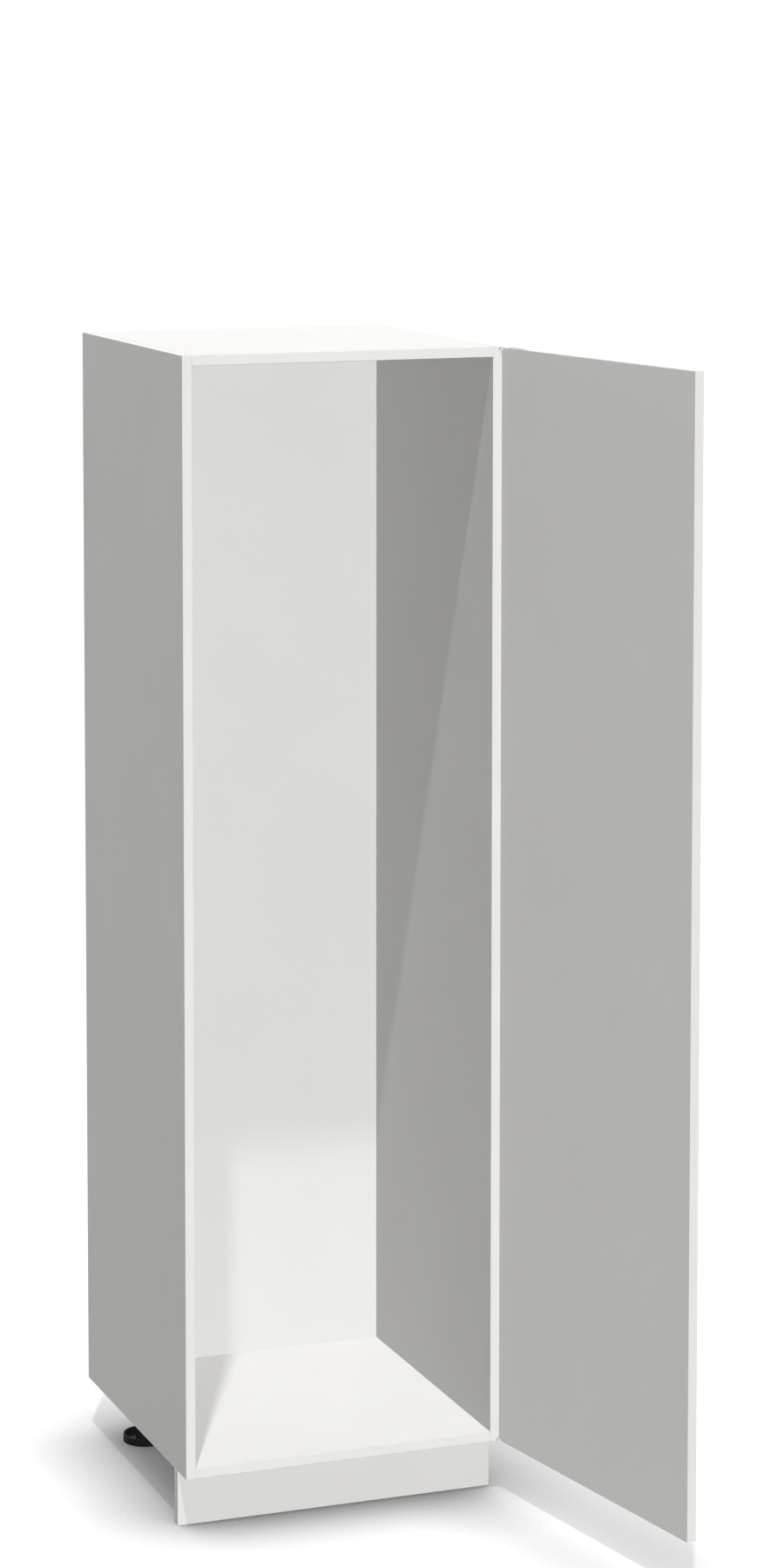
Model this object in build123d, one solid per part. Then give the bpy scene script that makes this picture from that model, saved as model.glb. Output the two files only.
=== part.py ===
from build123d import *
import os

# A tall kitchen cabinet with one full-height door, hinged on the right and standing wide open.
# Millimetres. X runs to the viewer's right, Y from the room towards the wall, Z up.
# The origin is on the floor, in the middle of the width, at the plinth's front face.

# Overall sizes
width = 600
depth = 600
carcass_height = 2000
leg_height = 100

# Boards and their edging
board = 18
door_board = 18
plinth_board = 18
edge_band = 1
band_rounding = 0.5

# Door
door_reveal = 1.5
door_gap = 0.8
door_open_angle = 100

# Plinth
plinth_setback = 50
plinth_top_gap = 1
plinth_foot_gap = 2

# Back panel, held in a groove of the four carcass panels
back_thickness = 3
back_inset = 10
groove_depth = 8
groove_play = 0.1
groove_end_play = 1

# Dowels between the side panels and the lying panels
dowel_radius = 4
dowel_length = 34
dowel_in_side = 10
dowel_chamfer = 1
dowel_offset = 32
hole_play = 0.05
hole_end_play = 0.5

# Cam locks: a bolt screwed into the side panel, drawn in by a cam in the lying panel
cam_inset = 50
cam_radius = 7.5
cam_distance = 34
cam_above_axis = 4
cam_recess = 0.2
cam_cross_width = 1.2
cam_cross_length = 8
cam_cross_depth = 2
bolt_thread_radius = 3
bolt_thread_length = 11
bolt_collar_radius = 3.7
bolt_collar_length = 1
bolt_shank_radius = 2.5
bolt_head_radius = 3.2
bolt_head_length = 5
bolt_bore_play = 0.3
cam_slot_play = 0.3

# Pivot hinges, one let into the top ends and one into the bottom ends of the side panel and the door
leaf_thickness = 2.5
leaf_width = 12
leaf_length = 70
knuckle_radius = 4.5
pin_radius = 2
pin_grip_play = 0.02
pin_running_play = 0.05
washer_rim_inset = 0.2
washer_thickness = 0.5
washer_play = 0.05
washer_bore_play = 0.1
mortise_play = 0.1
knuckle_pocket_play = 0.5
leaf_screw_count = 3
leaf_screw_first = 15
leaf_screw_last = 11

# Screws
hinge_screw = dict(head=3, core=1.5, length=25, cross=3.6)
board_screw = dict(head=3.5, core=1.75, length=15, cross=4.2)
screw_tip_length = 3
screw_tip_radius = 0.3
screw_cross_width = 0.7
screw_cross_depth = 1
pilot_play = 0.05
pilot_end_play = 1

# Legs: a socket under the bottom panel, a column in it and a foot that screws out of the column
foot_side_inset = 81
foot_rear_inset = 99
foot_radius = 41
foot_height = 15
foot_floor = 4
foot_wall = 2.5
foot_rim_rounding = 0.8
foot_sole_chamfer = 1
column_radius = 17.5
column_wall = 5.44
column_web = 10
column_chamfer = 0.8
column_stop_play = 0.1
stem_running_play = 0.06
stem_wall = 3.5
stem_floor = 4
stem_top_gap = 12
socket_play = 0.05
socket_collar_wall = 3.45
socket_collar_height = 22
socket_flange = 12
socket_plate_thickness = 4
socket_rib_count = 4
socket_rib_thickness = 2
socket_rib_height = 14
socket_rib_rim_inset = 1
socket_screw_count = 4

# Plinth clips, which grip the two front columns
clip_socket_gap = 7
clip_base_width = 46
clip_base_height = 30
clip_base_thickness = 3
clip_jaw_thickness = 4
clip_jaw_height = 14
clip_jaw_play = 0.1
clip_web_width = 16
clip_screw_edge = 7

# Wall brackets inside the top rear corners
bracket_side_inset = 100
bracket_width = 40
bracket_shelf = 30
bracket_drop = 40
bracket_thickness = 2
bracket_bend_radius = 1.5
bracket_screw_edge = 8
bracket_screw_setback = 18
wall_hole_radius = 3.25
wall_hole_drop = 25

# Planes that the pieces share
left_x = -width / 2
right_x = width / 2
front_y = -plinth_setback
back_y = front_y + depth
bottom_z = leg_height
top_z = leg_height + carcass_height
inner_left_x = left_x + board
inner_right_x = right_x - board
inner_bottom_z = bottom_z + board
inner_top_z = top_z - board
back_rear_y = back_y - back_inset
back_front_y = back_rear_y - back_thickness
hinge_x = right_x - door_reveal
hinge_y = front_y - door_gap
door_left_x = left_x + door_reveal
door_front_y = hinge_y - door_board
door_bottom_z = bottom_z + door_reveal
door_top_z = top_z - door_reveal
plinth_height = leg_height - plinth_top_gap

# Where the legs, the clips and the wall brackets stand, and the sizes that follow from what they fit
leg_x = width / 2 - foot_side_inset
front_leg_y = plinth_board + plinth_foot_gap + foot_radius
rear_leg_y = back_y - foot_rear_inset
socket_plate_z = leg_height - socket_plate_thickness
socket_collar_z = socket_plate_z - socket_collar_height
socket_collar_radius = column_radius + socket_play + socket_collar_wall
socket_plate_radius = socket_collar_radius + socket_flange
socket_screw_circle = (socket_collar_radius + socket_plate_radius) / 2
column_bore_radius = column_radius - column_wall
column_bore_z = socket_plate_z - column_web
stem_radius = column_bore_radius - stem_running_play
stem_top_z = column_bore_z - stem_top_gap
clip_z = socket_collar_z - clip_socket_gap - clip_jaw_height / 2
clip_screw_offset = clip_base_width / 2 - clip_screw_edge
bracket_x = width / 2 - bracket_side_inset
bracket_screw_offset = bracket_width / 2 - bracket_screw_edge
bolt_bore_radius = bolt_collar_radius + bolt_bore_play
washer_radius = knuckle_radius - washer_rim_inset


def block(x, y, z):
    """A box between two places on each axis."""
    size = [abs(b - a) for a, b in (x, y, z)]
    middle = [(a + b) / 2 for a, b in (x, y, z)]
    return Pos(*middle) * Box(*size)


def rod_x(radius, x, y, z):
    """A cylinder along X between two places."""
    return Pos(sum(x) / 2, y, z) * Rot(0, 90, 0) * Cylinder(radius, abs(x[1] - x[0]))


def rod_y(radius, x, y, z):
    """A cylinder along Y between two places."""
    return Pos(x, sum(y) / 2, z) * Rot(90, 0, 0) * Cylinder(radius, abs(y[1] - y[0]))


def rod_z(radius, x, y, z):
    """A cylinder along Z between two places."""
    return Pos(x, y, sum(z) / 2) * Cylinder(radius, abs(z[1] - z[0]))


def cross_recess(length, slot_width, slot_depth):
    """The cutter for a cross-head drive, its mouth at the origin, pointing down."""
    slot = Box(length, slot_width, 2 * slot_depth)
    return slot + Rot(0, 0, 90) * slot


def screw(size):
    """A countersunk screw, the middle of its head's face at the origin, pointing down."""
    head, core, length = size["head"], size["core"], size["length"]
    cone_height = head - core
    shank_end = -(length - screw_tip_length)
    top = Align.CENTER, Align.CENTER, Align.MAX
    body = Cone(core, head, cone_height, align=top)
    body += rod_z(core, 0, 0, (shank_end, -cone_height))
    body += Pos(0, 0, shank_end) * Cone(screw_tip_radius, core, screw_tip_length, align=top)
    return body - cross_recess(size["cross"], screw_cross_width, screw_cross_depth)


def screw_seat(size):
    """The cutter for a screw's countersink and for its pilot hole beyond, placed as the screw is."""
    head, core, length = size["head"], size["core"], size["length"]
    cone_height = head - core
    top = Align.CENTER, Align.CENTER, Align.MAX
    seat = Cone(core + pilot_play, head + pilot_play, cone_height, align=top)
    return seat + rod_z(core + pilot_play, 0, 0, (-length - pilot_end_play, 0))


def cut(shape, cutters):
    """The shape without the cutters that reach it."""
    box = shape.bounding_box()
    for cutter in cutters:
        other = cutter.bounding_box()
        if all(
            low < high_other and low_other < high
            for low, high, low_other, high_other in zip(box.min, box.max, other.min, other.max)
        ):
            shape = shape - cutter
    return shape


def rounded(shape, along, face, radius):
    """The shape with its edges along an axis rounded where they bound its first or last face.

    face is an axis and 0 for its low end or -1 for its high end.
    """
    axis, end = face
    edges = shape.edges().filter_by(along).group_by(axis)[end]
    return fillet(edges, radius)


def save(name, *solids):
    """Writes one node: a solid, or a group of separate solids."""
    shape = solids[0] if len(solids) == 1 else Compound(list(solids))
    export_step(shape, f"parts/{name}.step")


def joint_places():
    """Each corner joint of the carcass: its side, the face between its panels, the lying panel's middle."""
    for middle_z in (bottom_z + board / 2, top_z - board / 2):
        for side in (-1, 1):
            yield side, side * (width / 2 - board), middle_z


def cam_ys():
    return front_y + cam_inset, back_y - cam_inset


def dowel_ys():
    front, rear = cam_ys()
    return front + dowel_offset, (front_y + back_y) / 2, rear - dowel_offset


def dowels():
    """The dowels of the four corner joints, with their holes."""
    pieces, holes = [], []
    for side, joint_x, z in joint_places():
        outer = joint_x + side * dowel_in_side
        inner = outer - side * dowel_length
        for y in dowel_ys():
            dowel = rod_x(dowel_radius, (outer, inner), y, z)
            pieces.append(chamfer(dowel.edges().filter_by(GeomType.CIRCLE), dowel_chamfer))
            ends = outer + side * hole_end_play, inner - side * hole_end_play
            holes.append(rod_x(dowel_radius + hole_play, ends, y, z))
    return pieces, holes


def cam_bolts():
    """The cam bolts of the four corner joints, with their holes."""
    pieces, holes = [], []
    for side, joint_x, z in joint_places():
        thread_end = joint_x + side * bolt_thread_length
        collar_end = joint_x - side * bolt_collar_length
        cam_x = joint_x - side * cam_distance
        head = cam_x - bolt_head_length / 2, cam_x + bolt_head_length / 2
        for y in cam_ys():
            bolt = rod_x(bolt_thread_radius, (thread_end, joint_x), y, z)
            bolt += rod_x(bolt_collar_radius, (joint_x, collar_end), y, z)
            bolt += rod_x(bolt_shank_radius, (joint_x, cam_x), y, z)
            bolt += rod_x(bolt_head_radius, head, y, z)
            pieces.append(bolt)
            thread_hole_end = thread_end + side * hole_end_play
            holes.append(rod_x(bolt_thread_radius + hole_play, (thread_hole_end, joint_x), y, z))
            holes.append(rod_x(bolt_bore_radius, (joint_x, cam_x), y, z))
    return pieces, holes


def cam_locks():
    """The cams of the four corner joints, all turned from below, with their holes."""
    pieces, holes = [], []
    for side, joint_x, middle_z in joint_places():
        cam_x = joint_x - side * cam_distance
        underside = middle_z - board / 2
        cam_low = underside + cam_recess
        cam_high = middle_z + cam_above_axis
        shank_room = bolt_shank_radius + cam_slot_play
        head_room = bolt_head_radius + cam_slot_play
        head_reach = bolt_head_length / 2 + cam_slot_play
        for y in cam_ys():
            cam = rod_z(cam_radius - hole_play, cam_x, y, (cam_low, cam_high))
            slot_x = cam_x, cam_x + side * cam_radius
            slot_y = y - shank_room, y + shank_room
            slot_z = middle_z - shank_room, middle_z + shank_room
            cam -= block(slot_x, slot_y, slot_z)
            cavity_x = cam_x - head_reach, cam_x + head_reach
            cavity_y = y - head_room, y + head_room
            cavity_z = middle_z - head_room, middle_z + head_room
            cam -= block(cavity_x, cavity_y, cavity_z)
            drive = cross_recess(cam_cross_length, cam_cross_width, cam_cross_depth)
            cam -= Pos(cam_x, y, cam_low) * drive
            pieces.append(cam)
            hole_top = cam_high + hole_end_play
            holes.append(rod_z(cam_radius, cam_x, y, (underside, hole_top)))
    return pieces, holes


def hinge_level(end, distance):
    """The height at a distance inwards from the carcass's top (end 1) or bottom (end -1)."""
    return (top_z if end > 0 else bottom_z) - end * distance


# The hinge's layers, as distances inwards from the carcass's end: carcass leaf, washer, door leaf
washer_start = leaf_thickness + washer_play
door_leaf_start = washer_start + washer_thickness + washer_play
door_leaf_end = door_leaf_start + leaf_thickness
carcass_strip_x = right_x - board / 2
door_strip_y = hinge_y - door_board / 2


def carcass_leaf_plan(z, play=0):
    """The carcass leaf's outline: a strip along the side panel's end and an ear that holds the pin."""
    near = carcass_strip_x - leaf_width / 2 - play
    far = carcass_strip_x + leaf_width / 2 + play
    ear_back = hinge_y + knuckle_radius + play
    plan = block((near, far), (front_y, front_y + leaf_length + play), z)
    plan += block((near, hinge_x), (front_y, ear_back), z)
    return plan + rod_z(knuckle_radius + play, hinge_x, hinge_y, z)


def door_leaf_plan(z, play=0):
    """The door leaf's outline with the door closed: a strip along the door's end and the same ear."""
    low = door_strip_y - leaf_width / 2 - play
    high = door_strip_y + leaf_width / 2 + play
    ear_start = hinge_x - knuckle_radius - play
    plan = block((hinge_x - leaf_length - play, hinge_x), (low, high), z)
    plan += block((ear_start, hinge_x), (low, hinge_y), z)
    return plan + rod_z(knuckle_radius + play, hinge_x, hinge_y, z)


def screw_turn(end):
    """Turns a screw so that it goes down from the top (end 1) or up from the bottom (end -1)."""
    return Rot(0 if end > 0 else 180, 0, 0)


def leaf_screw_places():
    """The screws' places along a leaf, from the end at the knuckle."""
    step = (leaf_length - leaf_screw_first - leaf_screw_last) / (leaf_screw_count - 1)
    return [leaf_screw_first + i * step for i in range(leaf_screw_count)]


def carcass_leaf_screw_spots(end):
    return [
        Pos(carcass_strip_x, front_y + place, hinge_level(end, 0)) * screw_turn(end)
        for place in leaf_screw_places()
    ]


def door_leaf_screw_spots(end):
    return [
        Pos(hinge_x - place, door_strip_y, hinge_level(end, door_leaf_start)) * screw_turn(end)
        for place in leaf_screw_places()
    ]


def pin_hole(play):
    return rod_z(pin_radius + play, hinge_x, hinge_y, (0, top_z + leaf_thickness))


def hinge(end):
    """The four pieces of one pivot hinge, with the door closed."""
    carcass_z = hinge_level(end, 0), hinge_level(end, leaf_thickness)
    washer_z = hinge_level(end, washer_start), hinge_level(end, washer_start + washer_thickness)
    door_z = hinge_level(end, door_leaf_start), hinge_level(end, door_leaf_end)
    pin_z = hinge_level(end, 0), hinge_level(end, door_leaf_end)
    carcass_leaf = carcass_leaf_plan(carcass_z) - pin_hole(pin_grip_play)
    for spot in carcass_leaf_screw_spots(end):
        carcass_leaf -= spot * screw_seat(hinge_screw)
    door_leaf = door_leaf_plan(door_z) - pin_hole(pin_running_play)
    for spot in door_leaf_screw_spots(end):
        door_leaf -= spot * screw_seat(hinge_screw)
    washer = rod_z(washer_radius, hinge_x, hinge_y, washer_z) - pin_hole(washer_bore_play)
    pin = rod_z(pin_radius, hinge_x, hinge_y, pin_z)
    return carcass_leaf, door_leaf, washer, pin


def knuckle_pocket(end):
    """The room that the knuckles turn in, cut from the side panel's corner and the door's."""
    z = hinge_level(end, 0), hinge_level(end, door_leaf_end + knuckle_pocket_play)
    return rod_z(knuckle_radius + knuckle_pocket_play, hinge_x, hinge_y, z)


def carcass_hinge_cutters():
    cutters = []
    for end in (-1, 1):
        z = hinge_level(end, 0), hinge_level(end, leaf_thickness)
        cutters += [carcass_leaf_plan(z, mortise_play), knuckle_pocket(end)]
        cutters += [spot * screw_seat(hinge_screw) for spot in carcass_leaf_screw_spots(end)]
    return cutters


def door_hinge_cutters():
    cutters = []
    for end in (-1, 1):
        z = hinge_level(end, 0), hinge_level(end, door_leaf_end)
        cutters += [door_leaf_plan(z, mortise_play), knuckle_pocket(end)]
        cutters += [spot * screw_seat(hinge_screw) for spot in door_leaf_screw_spots(end)]
    return cutters


def back_panel():
    """The back panel, its tongue in the groove all round, holed for the two wall screws."""
    tongue = groove_depth - groove_end_play
    panel = block(
        (inner_left_x - tongue, inner_right_x + tongue),
        (back_front_y, back_rear_y),
        (inner_bottom_z - tongue, inner_top_z + tongue),
    )
    return cut(panel, wall_holes())


def back_grooves():
    """The groove for the back panel, as one frame-shaped run of cutters."""
    y = back_front_y - groove_play, back_rear_y + groove_play
    low_x, high_x = inner_left_x - groove_depth, inner_right_x + groove_depth
    low_z, high_z = inner_bottom_z - groove_depth, inner_top_z + groove_depth
    return [
        block((low_x, inner_left_x), y, (low_z, high_z)),
        block((inner_right_x, high_x), y, (low_z, high_z)),
        block((inner_left_x, inner_right_x), y, (low_z, inner_bottom_z)),
        block((inner_left_x, inner_right_x), y, (inner_top_z, high_z)),
    ]


def side_panel(side, cutters):
    """One side panel and its edging: the panel, the front band, and the bands on its two ends."""
    x = side * width / 2, side * (width / 2 - board)
    core_y = front_y + edge_band, back_y
    core_z = bottom_z + edge_band, top_z - edge_band
    panel = block(x, core_y, core_z)
    front_band = block(x, (front_y, front_y + edge_band), (bottom_z, top_z))
    front_band = rounded(front_band, Axis.Z, (Axis.Y, 0), band_rounding)
    low_band = block(x, core_y, (bottom_z, bottom_z + edge_band))
    low_band = rounded(low_band, Axis.Y, (Axis.Z, 0), band_rounding)
    high_band = block(x, core_y, (top_z - edge_band, top_z))
    high_band = rounded(high_band, Axis.Y, (Axis.Z, -1), band_rounding)
    return [cut(piece, cutters) for piece in (panel, front_band, low_band, high_band)]


def lying_panel(low_z, cutters):
    """The top or the bottom panel and its front band."""
    x = inner_left_x, inner_right_x
    z = low_z, low_z + board
    panel = cut(block(x, (front_y + edge_band, back_y), z), cutters)
    front_band = block(x, (front_y, front_y + edge_band), z)
    return panel, rounded(front_band, Axis.X, (Axis.Y, 0), band_rounding)


def leg_places():
    for depth_name, y in (("front", front_leg_y), ("rear", rear_leg_y)):
        for side_name, x in (("left", -leg_x), ("right", leg_x)):
            yield f"{depth_name}_{side_name}", x, y


def around(count, start=0):
    """Turns about the Z axis, spread evenly, the first one start steps on from the X axis."""
    return [Rot(0, 0, 360 / count * (i + start)) for i in range(count)]


def socket_screw_spots():
    """The screws that point up through a socket's plate, between its ribs."""
    place = Pos(socket_screw_circle, 0, socket_plate_z) * Rot(180, 0, 0)
    return [turn * place for turn in around(socket_screw_count, start=0.5)]


def leg_socket():
    """The socket, under the bottom panel: a round plate with a ribbed collar for the column."""
    root = socket_collar_radius - socket_collar_wall / 2
    rib_z = socket_plate_z - socket_rib_height
    rib = Polyline(
        (root, 0, socket_plate_z),
        (socket_plate_radius - socket_rib_rim_inset, 0, socket_plate_z),
        (socket_collar_radius, 0, rib_z),
        (root, 0, rib_z),
        close=True,
    )
    rib = extrude(make_face(rib), socket_rib_thickness / 2, both=True)
    socket = rod_z(socket_plate_radius, 0, 0, (socket_plate_z, leg_height))
    socket += rod_z(socket_collar_radius, 0, 0, (socket_collar_z, socket_plate_z))
    for turn in around(socket_rib_count):
        socket += turn * rib
    socket -= rod_z(column_radius + socket_play, 0, 0, (socket_collar_z, socket_plate_z))
    for spot in socket_screw_spots():
        socket -= spot * screw_seat(board_screw)
    return socket


def leg_column():
    """The column: a tube that stands in the socket, bored from below for the foot's stem."""
    low = foot_floor + column_stop_play
    column = rod_z(column_radius, 0, 0, (low, socket_plate_z))
    column = chamfer(column.edges().filter_by(GeomType.CIRCLE).group_by(Axis.Z)[0], column_chamfer)
    return column - rod_z(column_bore_radius, 0, 0, (low, column_bore_z))


def leg_foot():
    """The foot: a round dish with a hollow stem, screwed right up into the column."""
    foot = rod_z(foot_radius, 0, 0, (0, foot_height))
    foot -= rod_z(foot_radius - foot_wall, 0, 0, (foot_floor, foot_height))
    rim = foot.edges().filter_by(GeomType.CIRCLE).group_by(Axis.Z)[-1]
    foot = fillet(rim, foot_rim_rounding)
    sole = foot.edges().filter_by(GeomType.CIRCLE).group_by(Axis.Z)[0]
    foot = chamfer(sole, foot_sole_chamfer)
    foot += rod_z(stem_radius, 0, 0, (foot_floor, stem_top_z))
    return foot - rod_z(stem_radius - stem_wall, 0, 0, (foot_floor + stem_floor, stem_top_z))


def leg_screws():
    return [
        Pos(x, y, 0) * spot * screw(board_screw)
        for _, x, y in leg_places()
        for spot in socket_screw_spots()
    ]


def leg_screw_holes():
    return [
        Pos(x, y, 0) * spot * screw_seat(board_screw)
        for _, x, y in leg_places()
        for spot in socket_screw_spots()
    ]


def clip_screw_spots():
    """The plinth clips' screws, which point forwards into the plinth board."""
    y = plinth_board + clip_base_thickness
    return [
        Pos(side * leg_x + offset, y, clip_z) * Rot(-90, 0, 0)
        for side in (-1, 1)
        for offset in (-clip_screw_offset, clip_screw_offset)
    ]


def plinth():
    """The plinth board and the bands on its two ends."""
    y = 0, plinth_board
    z = 0, plinth_height
    panel = block((left_x + edge_band, right_x - edge_band), y, z)
    left = rounded(block((left_x, left_x + edge_band), y, z), Axis.Z, (Axis.X, 0), band_rounding)
    right = rounded(block((right_x - edge_band, right_x), y, z), Axis.Z, (Axis.X, -1), band_rounding)
    return cut(panel, [spot * screw_seat(board_screw) for spot in clip_screw_spots()]), left, right


def plinth_clip(side):
    """One clip: a base on the back of the plinth, a web, and a half-round jaw round the column."""
    x = side * leg_x
    base_x = x - clip_base_width / 2, x + clip_base_width / 2
    base_y = plinth_board, plinth_board + clip_base_thickness
    base_z = clip_z - clip_base_height / 2, clip_z + clip_base_height / 2
    web_x = x - clip_web_width / 2, x + clip_web_width / 2
    jaw_z = clip_z - clip_jaw_height / 2, clip_z + clip_jaw_height / 2
    jaw_inner = column_radius + clip_jaw_play
    jaw_outer = jaw_inner + clip_jaw_thickness
    clip = block(base_x, base_y, base_z)
    clip += block(web_x, (plinth_board, front_leg_y), jaw_z)
    clip += rod_z(jaw_outer, x, front_leg_y, jaw_z)
    clip -= rod_z(jaw_inner, x, front_leg_y, jaw_z)
    clip -= block((x - jaw_outer, x + jaw_outer), (front_leg_y, front_leg_y + jaw_outer), jaw_z)
    for spot in clip_screw_spots():
        clip -= spot * screw_seat(board_screw)
    return clip


def bracket_screw_spots(side):
    y = back_front_y - bracket_screw_setback
    z = inner_top_z - bracket_thickness
    return [
        Pos(side * bracket_x + offset, y, z) * Rot(180, 0, 0)
        for offset in (-bracket_screw_offset, bracket_screw_offset)
    ]


def wall_holes():
    z = inner_top_z - wall_hole_drop
    y = back_front_y - bracket_thickness, back_y
    return [rod_y(wall_hole_radius, side * bracket_x, y, z) for side in (-1, 1)]


def wall_bracket(side):
    """A steel angle under the top panel, against the back panel, holed for a screw into the wall."""
    middle = side * bracket_x
    x = middle - bracket_width / 2, middle + bracket_width / 2
    shelf_y = back_front_y - bracket_shelf, back_front_y
    shelf_z = inner_top_z - bracket_thickness, inner_top_z
    drop_y = back_front_y - bracket_thickness, back_front_y
    drop_z = inner_top_z - bracket_drop, inner_top_z
    bracket = block(x, shelf_y, shelf_z) + block(x, drop_y, drop_z)
    heel = bracket.edges().filter_by(Axis.X).group_by(Axis.Z)[-1].sort_by(Axis.Y)[-1]
    bracket = fillet(heel, bracket_bend_radius)
    seats = [spot * screw_seat(board_screw) for spot in bracket_screw_spots(side)]
    return cut(bracket, wall_holes() + seats)


def door(cutters):
    """The door and its edging, closed: the panel, and its free, hinge, top and bottom bands."""
    y = door_front_y, hinge_y
    z = door_bottom_z, door_top_z
    core_x = door_left_x + edge_band, hinge_x - edge_band
    core_z = door_bottom_z + edge_band, door_top_z - edge_band
    panel = block(core_x, y, core_z)
    free = rounded(block((door_left_x, core_x[0]), y, z), Axis.Z, (Axis.X, 0), band_rounding)
    hinged = rounded(block((core_x[1], hinge_x), y, z), Axis.Z, (Axis.X, -1), band_rounding)
    high = rounded(block(core_x, y, (core_z[1], door_top_z)), Axis.X, (Axis.Z, -1), band_rounding)
    low = rounded(block(core_x, y, (door_bottom_z, core_z[0])), Axis.X, (Axis.Z, 0), band_rounding)
    return [cut(piece, cutters) for piece in (panel, free, hinged, high, low)]


def opened(shape):
    """A piece of the door, swung from closed to where it stands open."""
    return shape.rotate(Axis((hinge_x, hinge_y, 0), (0, 0, 1)), door_open_angle)


def build_carcass():
    dowel_pieces, dowel_holes = dowels()
    bolt_pieces, bolt_holes = cam_bolts()
    cam_pieces, cam_holes = cam_locks()
    joint_holes = dowel_holes + bolt_holes + cam_holes
    bracket_spots = bracket_screw_spots(-1) + bracket_screw_spots(1)
    screw_holes = leg_screw_holes() + [spot * screw_seat(board_screw) for spot in bracket_spots]
    cutters = back_grooves() + joint_holes + screw_holes + carcass_hinge_cutters()
    for side, name in ((-1, "left"), (1, "right")):
        panel, front_band, low_band, high_band = side_panel(side, cutters)
        save(f"side_panel_{name}", panel)
        save(f"side_front_band_{name}", front_band)
        save(f"side_end_bands_{name}", low_band, high_band)
    for low_z, name in ((bottom_z, "bottom"), (top_z - board, "top")):
        panel, front_band = lying_panel(low_z, cutters)
        save(f"{name}_panel", panel)
        save(f"{name}_front_band", front_band)
    save("back_panel", back_panel())
    save("dowels", *dowel_pieces)
    save("cam_bolts", *bolt_pieces)
    save("cam_locks", *cam_pieces)


def build_wall_brackets():
    for side, name in ((-1, "left"), (1, "right")):
        save(f"wall_bracket_{name}", wall_bracket(side))
    spots = bracket_screw_spots(-1) + bracket_screw_spots(1)
    save("wall_bracket_screws", *[spot * screw(board_screw) for spot in spots])


def build_legs():
    for name, x, y in leg_places():
        save(f"leg_socket_{name}", Pos(x, y, 0) * leg_socket())
        save(f"leg_column_{name}", Pos(x, y, 0) * leg_column())
        save(f"foot_{name}", Pos(x, y, 0) * leg_foot())
    save("leg_screws", *leg_screws())


def build_plinth():
    panel, left_band, right_band = plinth()
    save("plinth_board", panel)
    save("plinth_end_bands", left_band, right_band)
    for side, name in ((-1, "left"), (1, "right")):
        save(f"plinth_clip_{name}", plinth_clip(side))
    save("plinth_clip_screws", *[spot * screw(board_screw) for spot in clip_screw_spots()])


def build_door():
    panel, free, hinged, high, low = [opened(piece) for piece in door(door_hinge_cutters())]
    save("door_panel", panel)
    save("door_free_band", free)
    save("door_hinge_band", hinged)
    save("door_top_band", high)
    save("door_bottom_band", low)


def build_hinges():
    for end, name in ((-1, "bottom"), (1, "top")):
        carcass_leaf, door_leaf, washer, pin = hinge(end)
        save(f"{name}_hinge_carcass_leaf", carcass_leaf)
        save(f"{name}_hinge_door_leaf", opened(door_leaf))
        save(f"{name}_hinge_washer", washer)
        save(f"{name}_hinge_pin", pin)
    carcass_spots = carcass_leaf_screw_spots(-1) + carcass_leaf_screw_spots(1)
    save("carcass_leaf_screws", *[spot * screw(hinge_screw) for spot in carcass_spots])
    door_spots = door_leaf_screw_spots(-1) + door_leaf_screw_spots(1)
    save("door_leaf_screws", *[opened(spot * screw(hinge_screw)) for spot in door_spots])


os.makedirs("parts", exist_ok=True)
build_carcass()
build_wall_brackets()
build_legs()
build_plinth()
build_door()
build_hinges()
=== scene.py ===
import math

import bpy
from mathutils import Matrix, Vector

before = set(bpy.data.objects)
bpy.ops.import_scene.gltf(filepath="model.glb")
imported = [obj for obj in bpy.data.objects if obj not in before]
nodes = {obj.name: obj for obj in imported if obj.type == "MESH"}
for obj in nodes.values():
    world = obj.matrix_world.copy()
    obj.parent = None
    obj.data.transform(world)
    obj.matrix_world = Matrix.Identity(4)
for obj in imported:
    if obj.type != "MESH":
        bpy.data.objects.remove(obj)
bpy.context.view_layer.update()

scene = bpy.context.scene

# Lengths are in metres, angles in degrees and colours linear. A noise's scale is in cycles a metre.

X, Y, Z = (1, 0, 0), (0, 1, 0), (0, 0, 1)
TOWARDS_ROOM = (0, -1, 0)
EVENLY = (1, 1, 1)

# The door as it stands at rest.
DOOR_OPEN = math.radians(100)
ALONG_DOOR = (math.cos(DOOR_OPEN), math.sin(DOOR_OPEN), 0)
THROUGH_DOOR = (-math.sin(DOOR_OPEN), math.cos(DOOR_OPEN), 0)

# Nearly all of Blender's noise lies between these.
NOISE_LOW = 0.3
NOISE_HIGH = 0.7

# The Mix node's sockets, by number because its data types share their names.
MIX_FACTOR = 0
MIX_FLOATS = (2, 3)
MIX_COLOURS = (6, 7)
MIX_FLOAT_RESULT = 0
MIX_COLOUR_RESULT = 2

COATING_IOR = 1.5  # of every white coating and of bare wood
BLACK_PLASTIC_IOR = 1.49
BLACK_PLASTIC_SPECULAR = 0.22

CHIP_THINNESS = 0.24  # a chip's thickness as a part of its breadth
CHIP_BEND = 1.7  # the scale of the noise that bends the chips' outlines, as a multiple of the chips' own

# How far a surface faces a direction, from 0, side on, to 1, straight along it, where its finish changes.
FACED_LIMIT = 0.9  # through the board: faced above this, and bare core below
FRONT_LIMIT = 0.5  # towards the room: the back's white side above this, and its brown side below
ARRIS_LIMITS = (0.93, 0.995)  # one of a band's flats: painted seam shade and dullness below the first, and none above the second

# The floor. The camera sees its colour and its glow together as white, and the object is lit by a darker one.
FLOOR_SIZE = 60
FLOOR_COLOUR = 0.65
FLOOR_GLOW = 0.42
FLOOR_BOUNCE_COLOUR = (0.12, 0.12, 0.12)
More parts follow.
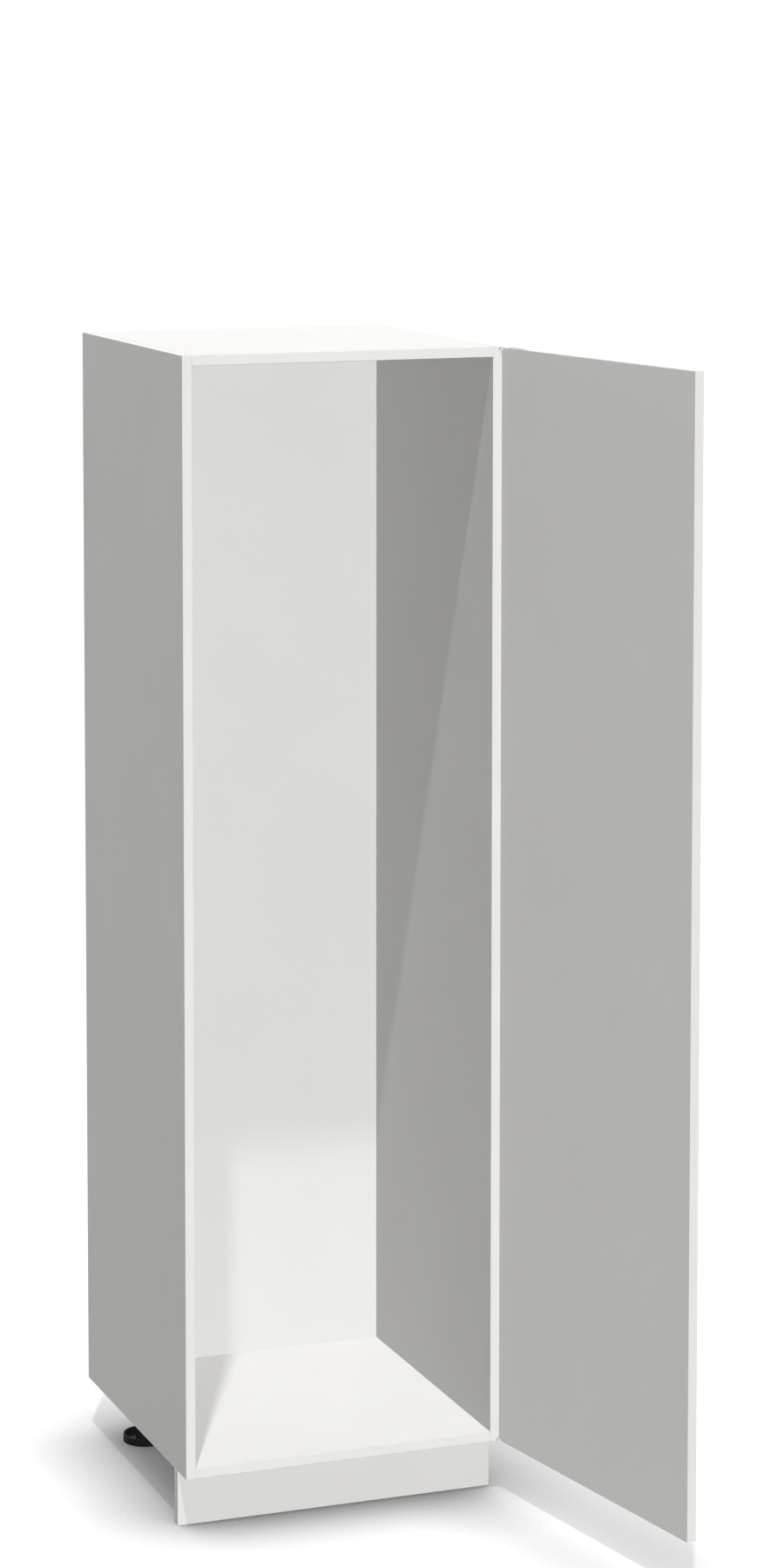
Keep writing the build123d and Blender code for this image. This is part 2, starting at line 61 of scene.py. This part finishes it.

# How the floor's painted contact shadow darkens it near what stands on it.
CONTACT_REACH = 0.25
CONTACT_SAMPLES = 6
CONTACT_POWER = 1.6
CONTACT_DARKEST = 0.09
CONTACT_CLEAR = 1.04

WORLD_LIGHT = 0.02
WORLD_SEEN = 1.0

# The key's direction is the one that puts the edges of its shadows where the photograph has them.
KEY_AZIMUTH = 24.6
KEY_ELEVATION = 67.6
FRONT_ELEVATION = 40
SIDE_AZIMUTH = 120
REAR_AZIMUTH = 180
FILL_SPREAD = 2
ANY_BOUNCES = 1024  # Blender's own limit

# The camera, fitted to the corners of the carcass, door and plinth in the photograph's 900 by 1800 pixels.
FRAME_HEIGHT_PIXELS = 1800
FOCAL_LENGTH_PIXELS = 4747.71
SENSOR_MM = 36
SHIFT_X = 0.0317
SHIFT_Y = -0.25
CLIP_START = 0.1
CLIP_END = 200
CAMERA_PLACE = (-2.507, -6.8439, 2.6634)
CAMERA_YAW = 20.2246
CAMERA_PITCH = 5.0137
CAMERA_ROLL = 0.0264


class Graph:
    """A material's node tree, built a node at a time."""

    def __init__(self, name):
        self.material = bpy.data.materials.new(name)
        self.material.use_nodes = True
        self.tree = self.material.node_tree
        self.tree.nodes.clear()
        self.coords = self.tree.nodes.new("ShaderNodeTexCoord")

    def node(self, kind, **settings):
        made = self.tree.nodes.new(kind)
        for key, value in settings.items():
            setattr(made, key, value)
        return made

    def link(self, source, target):
        self.tree.links.new(source, target)

    def feed(self, socket, value):
        """Links a socket to another node's output, or sets it to a number or colour."""
        if isinstance(value, bpy.types.NodeSocket):
            self.link(value, socket)
        else:
            socket.default_value = value

    def place(self, stretch):
        """The object's own coordinates, each multiplied by its part of stretch."""
        mapping = self.node("ShaderNodeMapping")
        mapping.inputs["Scale"].default_value = stretch
        self.link(self.coords.outputs["Object"], mapping.inputs["Vector"])
        return mapping.outputs["Vector"]

    def math(self, operation, a, b=0.0):
        made = self.node("ShaderNodeMath", operation=operation)
        self.feed(made.inputs[0], a)
        self.feed(made.inputs[1], b)
        return made.outputs[0]

    def total(self, *weighed):
        """The sum of (value, weight) pairs."""
        total, *others = [self.math("MULTIPLY", value, weight) for value, weight in weighed]
        for other in others:
            total = self.math("ADD", total, other)
        return total

    def noise(self, scale, detail=2, roughness=0.5, stretch=EVENLY):
        made = self.node("ShaderNodeTexNoise")
        self.link(self.place(stretch), made.inputs["Vector"])
        made.inputs["Scale"].default_value = scale
        made.inputs["Detail"].default_value = detail
        made.inputs["Roughness"].default_value = roughness
        return made.outputs["Fac"]

    def cells(self, scale, stretch, warp=0.0):
        """A node of small cells. warp, a length, is about how far their outlines are bent."""
        made = self.node("ShaderNodeTexVoronoi")
        place = self.place(stretch)
        if warp:
            bend = self.node("ShaderNodeTexNoise")
            self.link(place, bend.inputs["Vector"])
            bend.inputs["Scale"].default_value = scale * CHIP_BEND
            shift = self.node("ShaderNodeVectorMath", operation="SCALE")
            self.link(bend.outputs["Color"], shift.inputs[0])
            shift.inputs["Scale"].default_value = warp
            moved = self.node("ShaderNodeVectorMath", operation="ADD")
            self.link(place, moved.inputs[0])
            self.link(shift.outputs["Vector"], moved.inputs[1])
            place = moved.outputs["Vector"]
        self.link(place, made.inputs["Vector"])
        made.inputs["Scale"].default_value = scale
        return made

    def span(self, value, low, high, from_low=0.0, from_high=1.0):
        """A number that goes from low to high as value goes from from_low to from_high."""
        made = self.node("ShaderNodeMapRange")
        self.feed(made.inputs["Value"], value)
        made.inputs["From Min"].default_value = from_low
        made.inputs["From Max"].default_value = from_high
        made.inputs["To Min"].default_value = low
        made.inputs["To Max"].default_value = high
        return made.outputs["Result"]

    def vary(self, noise, low, high):
        """A number between low and high that follows a noise."""
        return self.span(noise, low, high, NOISE_LOW, NOISE_HIGH)

    def mix(self, factor, a, b):
        """A colour between a and b."""
        made = self.node("ShaderNodeMix", data_type="RGBA")
        self.feed(made.inputs[MIX_FACTOR], factor)
        for index, value in zip(MIX_COLOURS, (a, b)):
            self.feed(made.inputs[index], (*value, 1) if isinstance(value, tuple) else value)
        return made.outputs[MIX_COLOUR_RESULT]

    def mottle(self, noise, a, b):
        """A colour between a and b that follows a noise."""
        return self.mix(self.vary(noise, 0, 1), a, b)

    def blend(self, factor, a, b):
        """A number between a and b."""
        made = self.node("ShaderNodeMix", data_type="FLOAT")
        self.feed(made.inputs[MIX_FACTOR], factor)
        for index, value in zip(MIX_FLOATS, (a, b)):
            self.feed(made.inputs[index], value)
        return made.outputs[MIX_FLOAT_RESULT]

    def facing(self, direction):
        """How far the surface faces a direction of the CAD frame, by its own normal at rest."""
        dot = self.node("ShaderNodeVectorMath", operation="DOT_PRODUCT")
        self.link(self.coords.outputs["Normal"], dot.inputs[0])
        dot.inputs[1].default_value = direction
        return dot.outputs["Value"]

    def bump(self, height, distance, strength):
        made = self.node("ShaderNodeBump")
        made.inputs["Strength"].default_value = strength
        made.inputs["Distance"].default_value = distance
        self.link(height, made.inputs["Height"])
        return made.outputs["Normal"]

    def finish(self, colour, roughness, normal, **constants):
        """Ends the tree in a Principled shader and returns the material."""
        shader = self.node("ShaderNodeBsdfPrincipled")
        self.link(colour, shader.inputs["Base Color"])
        self.link(roughness, shader.inputs["Roughness"])
        self.link(normal, shader.inputs["Normal"])
        for key, value in constants.items():
            shader.inputs[key.replace("_", " ")].default_value = value
        output = self.node("ShaderNodeOutputMaterial")
        self.link(shader.outputs["BSDF"], output.inputs["Surface"])
        return self.material


def chipboard(g, thickness):
    """The colour and height of a board's bare core: pale and dark chips that lie flat in the board."""
    dark, middle, pale = (0.17, 0.1, 0.052), (0.47, 0.33, 0.19), (0.66, 0.52, 0.345)
    most = max(abs(part) for part in thickness)
    lie = tuple(1.0 if abs(part) == most else CHIP_THINNESS for part in thickness)
    chips = g.cells(scale=1500, stretch=lie, warp=0.0006)
    coarse = g.cells(scale=560, stretch=lie, warp=0.0015)
    fine = g.noise(scale=3200, detail=3, roughness=0.6, stretch=lie)
    tone = g.total((chips.outputs["Color"], 0.5), (fine, 0.2), (coarse.outputs["Color"], 0.3))
    colour = g.mix(g.span(tone, 0, 1, from_low=0.2, from_high=0.55), dark, middle)
    colour = g.mix(g.span(tone, 0, 1, from_low=0.5, from_high=0.8), colour, pale)
    return colour, g.math("ADD", tone, g.math("MULTIPLY", fine, 0.5))


def faced_board(name, thickness):
    """White melamine-faced chipboard. thickness is the direction through the board."""
    greyer, whiter, speck = (0.838, 0.829, 0.803), (0.858, 0.85, 0.825), (0.70, 0.695, 0.68)
    smooth, rough, bare_rough = 0.46, 0.58, 0.9
    g = Graph(name)
    white = g.mottle(g.noise(scale=4, detail=4, roughness=0.55), greyer, whiter)
    specks = g.span(g.noise(scale=700), 0, 0.05, from_low=0.55, from_high=0.75)
    white = g.mix(specks, white, speck)
    core, core_height = chipboard(g, thickness)
    bare = g.math("LESS_THAN", g.math("ABSOLUTE", g.facing(thickness)), FACED_LIMIT)
    smear = g.noise(scale=14, detail=5, roughness=0.6, stretch=(1, 1, 0.4))
    roughness = g.blend(bare, g.vary(smear, smooth, rough), bare_rough)
    pearl = g.noise(scale=1100, roughness=0.55)
    ripple = g.noise(scale=9, roughness=0.4)
    height = g.blend(bare, g.total((pearl, 0.12), (ripple, 0.6)), core_height)
    normal = g.bump(height, distance=0.00012, strength=0.6)
    return g.finish(g.mix(bare, white, core), roughness, normal, IOR=COATING_IOR)


def edging(name, flats):
    """White plastic edge band: closer and glossier than the board, with faint drag lines along Z.

    flats are the directions that the band's flat faces look in. Its arrises, which are rounded between them,
    are duller, and greyer as painted shade that darkens the seams between bands.
    """
    greyer, whiter, grey = (0.842, 0.834, 0.805), (0.864, 0.856, 0.828), (0.56, 0.552, 0.532)
    smooth, rough, arris_roughness = 0.3, 0.42, 0.62
    g = Graph(name)
    white = g.mottle(g.noise(scale=11, detail=3), greyer, whiter)
    drag = g.noise(scale=1600, stretch=(1, 1, 0.02))
    fine = g.noise(scale=2600, detail=1)
    flat = 0.0
    for direction in flats:
        flat = g.math("MAXIMUM", flat, g.math("ABSOLUTE", g.facing(direction)))
    # Painted shade: the rounded arrises are mixed towards grey so that the seams between bands read darker.
    # They are also duller.
    arris_shade_and_dullness = g.span(flat, 1, 0, *ARRIS_LIMITS)
    polish = g.noise(scale=35, detail=4, roughness=0.6)
    roughness = g.blend(arris_shade_and_dullness, g.vary(polish, smooth, rough), arris_roughness)
    normal = g.bump(g.total((drag, 0.6), (fine, 0.4)), distance=0.00003, strength=0.5)
    return g.finish(g.mix(arris_shade_and_dullness, white, grey), roughness, normal, IOR=COATING_IOR)


def hardboard(name):
    """The thin back: lacquered white inside, bare brown fibre behind."""
    greyer, whiter = (0.832, 0.826, 0.804), (0.852, 0.846, 0.825)
    dark, light, cloudy = (0.25, 0.152, 0.083), (0.41, 0.272, 0.16), (0.44, 0.31, 0.19)
    white_roughness, brown_roughness = (0.4, 0.5), (0.62, 0.8)
    g = Graph(name)
    tone = g.noise(scale=3, detail=4)
    white = g.mottle(tone, greyer, whiter)
    fibre = g.noise(scale=420, detail=5, roughness=0.65, stretch=(1, 1, 0.35))
    brown = g.mix(g.span(fibre, 0, 1, from_low=0.32, from_high=0.68), dark, light)
    cloud = g.span(g.noise(scale=7, detail=3), 0, 0.35, from_low=0.35, from_high=0.7)
    brown = g.mix(cloud, brown, cloudy)
    front = g.math("GREATER_THAN", g.facing(TOWARDS_ROOM), FRONT_LIMIT)
    height = g.blend(front, fibre, g.math("MULTIPLY", g.noise(scale=900), 0.25))
    roughness = g.blend(front, g.vary(fibre, *brown_roughness), g.vary(tone, *white_roughness))
    normal = g.bump(height, distance=0.00008, strength=0.7)
    return g.finish(g.mix(front, brown, white), roughness, normal, IOR=COATING_IOR)


def moulded(name, dark, light, grain_scale=2400, smooth=0.34, rough=0.5):
    """Black moulded plastic with a fine spark-eroded texture, and a little dust where it faces up."""
    dust_grey = (0.24, 0.235, 0.225)
    g = Graph(name)
    colour = g.mottle(g.noise(scale=60, detail=4, roughness=0.6), dark, light)
    grain = g.noise(scale=grain_scale, roughness=0.6)
    dust = g.noise(scale=500, detail=6, roughness=0.75)
    dust = g.span(dust, 0, 0.35, from_low=0.58, from_high=0.78)
    up = g.span(g.facing(Z), 0, 1, from_low=0.2)
    colour = g.mix(g.math("MULTIPLY", dust, up), colour, dust_grey)
    roughness = g.vary(g.noise(scale=90, detail=3), smooth, rough)
    normal = g.bump(grain, distance=0.00006, strength=0.5)
    shine = {"IOR": BLACK_PLASTIC_IOR, "Specular_IOR_Level": BLACK_PLASTIC_SPECULAR}
    return g.finish(colour, roughness, normal, **shine)


def metal(name, dull, bright, smooth, rough, stretch=EVENLY, stain=None):
    """Plated or bare metal, its brightness and polish uneven at the scale of its finish."""
    g = Graph(name)
    streak = g.noise(scale=2600, stretch=stretch)
    colour = g.mottle(g.noise(scale=160, detail=4, roughness=0.6), dull, bright)
    if stain:
        stained = g.noise(scale=420, detail=5, roughness=0.7)
        stained = g.span(stained, 0, 0.5, from_low=0.55, from_high=0.75)
        colour = g.mix(stained, colour, stain)
    normal = g.bump(streak, distance=0.00002, strength=0.4)
    return g.finish(colour, g.vary(streak, smooth, rough), normal, Metallic=1.0)


def painted(name):
    """White powder coat."""
    greyer, whiter = (0.82, 0.815, 0.8), (0.85, 0.846, 0.832)
    smooth, rough = 0.32, 0.45
    g = Graph(name)
    peel = g.noise(scale=1400)
    white = g.mottle(g.noise(scale=40, detail=3), greyer, whiter)
    normal = g.bump(peel, distance=0.00004, strength=0.5)
    return g.finish(white, g.vary(peel, smooth, rough), normal, IOR=COATING_IOR)


def beech(name):
    """Turned beech, its grain along X as the dowels lie."""
    brown, pale, fleck = (0.5, 0.32, 0.18), (0.68, 0.48, 0.3), (0.33, 0.19, 0.1)
    smooth, rough = 0.5, 0.7
    g = Graph(name)
    grain = g.noise(scale=900, detail=4, roughness=0.6, stretch=(0.08, 1, 1))
    cells = g.cells(scale=700, stretch=(0.15, 1, 1))
    flecks = g.span(cells.outputs["Distance"], 0.4, 0, from_high=0.35)
    colour = g.mix(flecks, g.mottle(grain, brown, pale), fleck)
    normal = g.bump(grain, distance=0.00008, strength=0.6)
    return g.finish(colour, g.vary(grain, smooth, rough), normal, IOR=COATING_IOR)


looks = {
    "upright_board": faced_board("board_white_upright", X),
    "lying_board": faced_board("board_white_lying", Z),
    "door_board": faced_board("board_white_door", THROUGH_DOOR),
    "plinth_board": faced_board("board_white_plinth", Y),
    "edging": edging("edging_white", (X, Y, Z)),
    "door_edging": edging("edging_white_door", (ALONG_DOOR, THROUGH_DOOR, Z)),
    "back": hardboard("hardboard_back"),
    "hinge": painted("hinge_white_coat"),
    "pin": metal(
        "pin_ground_steel",
        dull=(0.5, 0.5, 0.49),
        bright=(0.66, 0.66, 0.65),
        smooth=0.18,
        rough=0.3,
        stretch=(1, 1, 0.02),
    ),
    "bracket": metal(
        "bracket_zinc",
        dull=(0.6, 0.61, 0.63),
        bright=(0.76, 0.77, 0.78),
        smooth=0.28,
        rough=0.42,
        stretch=(0.05, 1, 1),
    ),
    "screw": metal(
        "screw_zinc", dull=(0.58, 0.59, 0.6), bright=(0.76, 0.77, 0.78), smooth=0.24, rough=0.38
    ),
    "cam": metal(
        "cam_die_cast",
        dull=(0.42, 0.42, 0.41),
        bright=(0.6, 0.6, 0.58),
        smooth=0.4,
        rough=0.6,
        stain=(0.3, 0.29, 0.27),
    ),
    "washer": metal(
        "washer_brass",
        dull=(0.62, 0.44, 0.17),
        bright=(0.8, 0.62, 0.3),
        smooth=0.26,
        rough=0.42,
        stain=(0.4, 0.26, 0.1),
    ),
    "beech": beech("dowel_beech"),
    "leg": moulded("leg_black", dark=(0.008, 0.008, 0.009), light=(0.015, 0.015, 0.016)),
    "foot": moulded("foot_black", dark=(0.006, 0.006, 0.007), light=(0.012, 0.012, 0.013)),
    "clip": moulded(
        "clip_black",
        dark=(0.009, 0.009, 0.01),
        light=(0.017, 0.017, 0.018),
        grain_scale=3000,
        smooth=0.4,
        rough=0.55,
    ),
}

look_by_end = {"screws": "screw", "leaf": "hinge", "pin": "pin", "washer": "washer"}
look_by_start = {
    "side_panel": "upright_board",
    "top_panel": "lying_board",
    "bottom_panel": "lying_board",
    "door_panel": "door_board",
    "plinth_board": "plinth_board",
    "back_panel": "back",
    "dowels": "beech",
    "cam_bolts": "screw",
    "cam_locks": "cam",
    "leg_socket": "leg",
    "leg_column": "leg",
    "foot_": "foot",
    "plinth_clip": "clip",
    "wall_bracket": "bracket",
}


def look_of(name):
    """The look of a CAD node, by its name."""
    if "band" in name:
        return "door_edging" if name.startswith("door") else "edging"
    for end, look in look_by_end.items():
        if name.endswith(end):
            return look
    return next(look for start, look in look_by_start.items() if name.startswith(start))


for name, piece in nodes.items():
    for slot in piece.material_slots:
        slot.material = looks[look_of(name)]


def ground():
    """A pale floor that reads as white where nothing shades it, with a painted contact shadow close to what
    stands on it.
    """
    bpy.ops.mesh.primitive_plane_add(size=FLOOR_SIZE, location=(0, 0, 0))
    floor = bpy.context.object
    floor.name = "floor"
    g = Graph("floor_pale")
    path = g.node("ShaderNodeLightPath")
    seen = g.math("MAXIMUM", path.outputs["Is Camera Ray"], path.outputs["Is Glossy Ray"])
    near = g.node("ShaderNodeAmbientOcclusion", samples=CONTACT_SAMPLES)
    near.inputs["Distance"].default_value = CONTACT_REACH
    # Painted shadow: ambient occlusion darkens the floor's colour and glow near what stands on it.
    painted_contact_shadow = g.math("POWER", near.outputs["AO"], CONTACT_POWER)
    painted_contact_shadow = g.math("MINIMUM", g.span(painted_contact_shadow, CONTACT_DARKEST, CONTACT_CLEAR), 1.0)
    shade = g.node("ShaderNodeBsdfDiffuse")
    colour = g.mix(seen, FLOOR_BOUNCE_COLOUR, g.math("MULTIPLY", painted_contact_shadow, FLOOR_COLOUR))
    g.link(colour, shade.inputs["Color"])
    glow = g.node("ShaderNodeEmission")
    strength = g.math("MULTIPLY", g.math("MULTIPLY", seen, FLOOR_GLOW), painted_contact_shadow)
    g.link(strength, glow.inputs["Strength"])
    both = g.node("ShaderNodeAddShader")
    g.link(shade.outputs[0], both.inputs[0])
    g.link(glow.outputs[0], both.inputs[1])
    output = g.node("ShaderNodeOutputMaterial")
    g.link(both.outputs[0], output.inputs["Surface"])
    floor.data.materials.append(g.material)


def surroundings():
    """A dim even world that the camera and gloss see as white."""
    world = bpy.data.worlds.new("studio")
    scene.world = world
    world.use_nodes = True
    tree = world.node_tree
    tree.nodes.clear()
    path = tree.nodes.new("ShaderNodeLightPath")
    seen = tree.nodes.new("ShaderNodeMath")
    seen.operation = "MAXIMUM"
    tree.links.new(path.outputs["Is Camera Ray"], seen.inputs[0])
    tree.links.new(path.outputs["Is Glossy Ray"], seen.inputs[1])
    strength = tree.nodes.new("ShaderNodeMapRange")
    tree.links.new(seen.outputs[0], strength.inputs["Value"])
    strength.inputs["To Min"].default_value = WORLD_LIGHT
    strength.inputs["To Max"].default_value = WORLD_SEEN
    background = tree.nodes.new("ShaderNodeBackground")
    background.inputs["Color"].default_value = (1, 1, 1, 1)
    tree.links.new(strength.outputs["Result"], background.inputs["Strength"])
    output = tree.nodes.new("ShaderNodeOutputWorld")
    tree.links.new(background.outputs[0], output.inputs["Surface"])


def lamp(name, azimuth, elevation, strength, spread, shadow=True, gloss=True, bounces=ANY_BOUNCES):
    """A distant lamp. Azimuth 0 shines along +Y, and a positive one comes from the left.

    A surface that faces it square on gets strength times its own colour.
    """
    data = bpy.data.lights.new(name, "SUN")
    data.energy = strength * math.pi
    data.angle = math.radians(spread)
    data.use_shadow = shadow
    data.cycles.max_bounces = bounces
    made = bpy.data.objects.new(name, data)
    made.visible_glossy = gloss
    scene.collection.objects.link(made)
    a, e = math.radians(azimuth), math.radians(elevation)
    towards = Vector((math.sin(a) * math.cos(e), math.cos(a) * math.cos(e), -math.sin(e)))
    made.rotation_mode = "QUATERNION"
    made.rotation_quaternion = towards.to_track_quat("-Z", "Y")


def fill(name, azimuth, elevation, strength, bounces=0):
    """A lamp that casts no shadow and shows in no gloss, for even light inside the cabinet too."""
    lamp(name, azimuth, elevation, strength, FILL_SPREAD, shadow=False, gloss=False, bounces=bounces)


def camera():
    """The photograph's view, with part of its shift turned into tilt."""
    data = bpy.data.cameras.new("camera")
    made = bpy.data.objects.new("camera", data)
    scene.collection.objects.link(made)
    scene.camera = made
    data.sensor_width = SENSOR_MM
    data.lens = FOCAL_LENGTH_PIXELS * SENSOR_MM / FRAME_HEIGHT_PIXELS
    data.shift_x = SHIFT_X
    data.shift_y = SHIFT_Y
    data.clip_start = CLIP_START
    data.clip_end = CLIP_END
    yaw, pitch, roll = (math.radians(turn) for turn in (CAMERA_YAW, CAMERA_PITCH, CAMERA_ROLL))
    made.location = CAMERA_PLACE
    turn = Matrix.Rotation(-yaw, 3, "Z") @ Matrix.Rotation(math.pi / 2 - pitch, 3, "X")
    turn = turn @ Matrix.Rotation(-roll, 3, "Z")
    made.rotation_euler = turn.to_euler()


ground()
surroundings()
lamp("key", KEY_AZIMUTH, KEY_ELEVATION, strength=0.4, spread=1.3, bounces=0)
fill("front_flat", azimuth=0, elevation=FRONT_ELEVATION, strength=0.91)
fill("front_soft", azimuth=0, elevation=FRONT_ELEVATION, strength=0.15, bounces=2)
fill("left", azimuth=SIDE_AZIMUTH, elevation=0, strength=0.365)
fill("right", azimuth=-SIDE_AZIMUTH, elevation=0, strength=0.365)
lamp("back", azimuth=REAR_AZIMUTH, elevation=0, strength=0.4, spread=10, gloss=False)
camera()
scene.view_settings.view_transform = "Standard"
